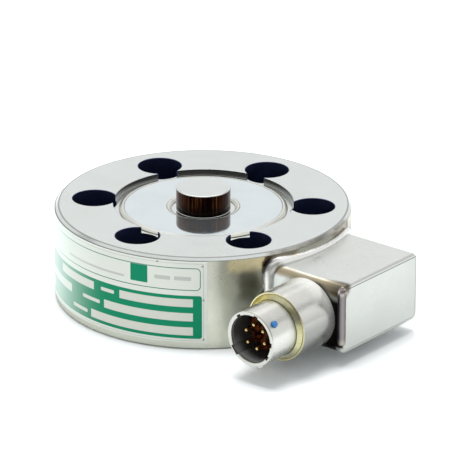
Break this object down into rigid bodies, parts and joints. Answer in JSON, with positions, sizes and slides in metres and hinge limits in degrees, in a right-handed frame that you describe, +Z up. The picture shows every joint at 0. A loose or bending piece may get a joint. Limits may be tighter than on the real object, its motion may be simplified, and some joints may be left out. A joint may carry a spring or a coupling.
{
  "type": "compression force sensor",
  "caption": "Low-profile round compression load cell with a central load button, through holes, a side junction box and a bayonet receptacle.",
  "frame": {"origin": "centre of the ring's base", "axes": "+Z up along the load axis through the load button, +X from the ring's centre out through the junction box, -Y the way the receptacle looks"},
  "size_m": [0.0999, 0.0795, 0.0301],
  "materials": {
    "turned_steel": "fine turned stainless steel",
    "polished_steel": "polished stainless sheet",
    "sheet_steel": "satin stainless sheet",
    "weld": "heat-tinted weld",
    "nickel": "satin nickel plate",
    "passivated": "yellow passivation",
    "insert": "dark moulded insulator",
    "gold_contact": "gold plate",
    "blue_paint": "blue paint spot",
    "printed_plate": "satin sheet with green print",
    "board": "glass-fibre board",
    "gauge_foil": "polyimide film",
    "winding": "enamelled wire on a spool",
    "insulation": "white wire insulation"
  },
  "bodies": {
    "root": {"sensor_body": "turned_steel", "top_membrane": "polished_steel", "membrane_outer_weld": "weld", "membrane_inner_weld": "weld", "bottom_cover": "turned_steel", "terminal_board": "board", "strain_gauge_1": "gauge_foil", "strain_gauge_2": "gauge_foil", "strain_gauge_3": "gauge_foil", "strain_gauge_4": "gauge_foil", "gauge_lead_1": "insulation", "gauge_lead_2": "insulation", "gauge_lead_3": "insulation", "gauge_lead_4": "insulation", "trim_resistor_1": "winding", "trim_resistor_2": "winding", "trim_resistor_3": "winding", "box_shell": "sheet_steel", "box_end_plate": "sheet_steel", "box_weld_bead": "weld", "connector_sleeve": "turned_steel", "connector_ring": "passivated", "connector_shell": "nickel", "bayonet_stud_1": "blue_paint", "bayonet_stud_2": "turned_steel", "bayonet_stud_3": "turned_steel", "connector_insert": "insert", "contact_pin_1": "gold_contact", "contact_pin_2": "gold_contact", "contact_pin_3": "gold_contact", "contact_pin_4": "gold_contact", "contact_pin_5": "gold_contact", "contact_pin_6": "gold_contact", "signal_wire_1": "insulation", "signal_wire_2": "insulation", "signal_wire_3": "insulation", "signal_wire_4": "insulation", "signal_wire_5": "insulation", "signal_wire_6": "insulation", "name_plate": "printed_plate"}
  },
  "joints": []
}
